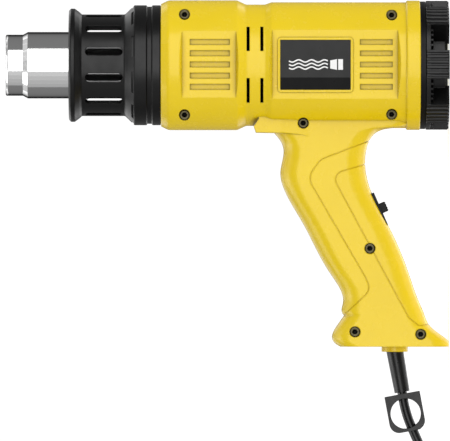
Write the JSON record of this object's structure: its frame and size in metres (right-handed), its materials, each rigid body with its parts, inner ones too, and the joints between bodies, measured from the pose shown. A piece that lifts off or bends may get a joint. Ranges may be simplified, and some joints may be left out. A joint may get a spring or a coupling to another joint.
{
  "type": "heat gun",
  "caption": "Corded hot-air gun with a ribbed heat guard, steel outlet tube, tail dial, handle switch and coiled mains lead, standing on its tail.",
  "frame": {"origin": "where the barrel axis meets the surface that the gun stands on, behind the dial", "axes": "+Z along the barrel axis towards the outlet, handle along -X, the gun's left side facing -Y"},
  "size_m": [0.3604, 0.1113, 0.2523],
  "materials": {
    "yellow_plastic": "moulded nylon, satin with a fine spark texture",
    "black_plastic": "moulded, fine texture",
    "guard_plastic": "glass-filled heat-resistant plastic, satin",
    "knob_plastic": "moulded, matt",
    "dial_plastic": "matt with yellow pad print",
    "fan_plastic": "moulded",
    "bright_steel": "polished stainless tube",
    "zinc_steel": "zinc plated",
    "screw_steel": "black oxide",
    "brass": "turned",
    "bare_aluminium": "extruded",
    "magnet": "ferrite",
    "winding_copper": "enamelled winding on a laminated stack",
    "mica": "pressed mica",
    "ceramic": "fired ceramic",
    "heater_wire": "resistance wire",
    "circuit_board": "solder mask",
    "capacitor_yellow": "film capacitor box",
    "plate_grey": "printed film",
    "switch_label_film": "blue and red printed step label",
    "soft_rubber": "moulded PVC",
    "cord_rubber": "rubber sheathed flex",
    "tie_plastic": "nylon strap",
    "wire_insulation": "PVC insulation"
  },
  "bodies": {
    "root": {"housing_left": "yellow_plastic", "housing_right": "yellow_plastic", "housing_screws": "screw_steel", "name_plate": "plate_grey", "rating_plate": "plate_grey", "heat_guard": "guard_plastic", "outlet_tube": "bright_steel", "tube_clamp_ring": "zinc_steel", "mica_gasket": "mica", "mica_sleeve": "mica", "heater_core": "ceramic", "heating_element": "heater_wire", "terminal_disc": "mica", "thermal_cutout": "zinc_steel", "fan_duct": "black_plastic", "motor_bracket": "zinc_steel", "motor_screws": "screw_steel", "motor_can": "zinc_steel", "motor_end_cap": "black_plastic", "motor_magnets": "magnet", "rear_cover": "black_plastic", "potentiometer": "zinc_steel", "pot_nut": "zinc_steel", "control_board": "circuit_board", "triac_heat_sink": "bare_aluminium", "filter_capacitor": "capacitor_yellow", "switch_bezel": "black_plastic", "switch_label": "switch_label_film", "switch_body": "black_plastic", "strain_relief": "soft_rubber", "hang_ring": "soft_rubber", "cable_clamp": "black_plastic", "clamp_screws": "screw_steel", "cord_inside": "cord_rubber", "mains_leads": "wire_insulation", "motor_leads": "wire_insulation", "cord_lead": "cord_rubber", "cord_coil": "cord_rubber", "cord_tail": "cord_rubber", "cord_tie": "tie_plastic", "plug_body": "soft_rubber", "plug_blades": "brass"},
    "knob": {"temperature_knob": "knob_plastic", "knob_face": "dial_plastic", "pot_shaft": "brass"},
    "switch_slide": {"switch_slider": "black_plastic"},
    "fan_rotor": {"fan_impeller": "fan_plastic", "motor_armature": "winding_copper", "motor_shaft": "screw_steel"}
  },
  "joints": [
    {"name": "knob_turn", "type": "hinge", "parent": "root", "child": "knob", "pos_m": [0, 0, 0], "axis": [0, 0, 1], "range_deg": [-135, 135]},
    {"name": "switch_travel", "type": "slide", "parent": "root", "child": "switch_slide", "axis": [-0.915, 0, -0.4035], "range_m": [-0.005, 0.005]},
    {"name": "fan_spin", "type": "hinge", "parent": "root", "child": "fan_rotor", "pos_m": [0, 0, 0.09], "axis": [0, 0, 1], "continuous": true}
  ]
}
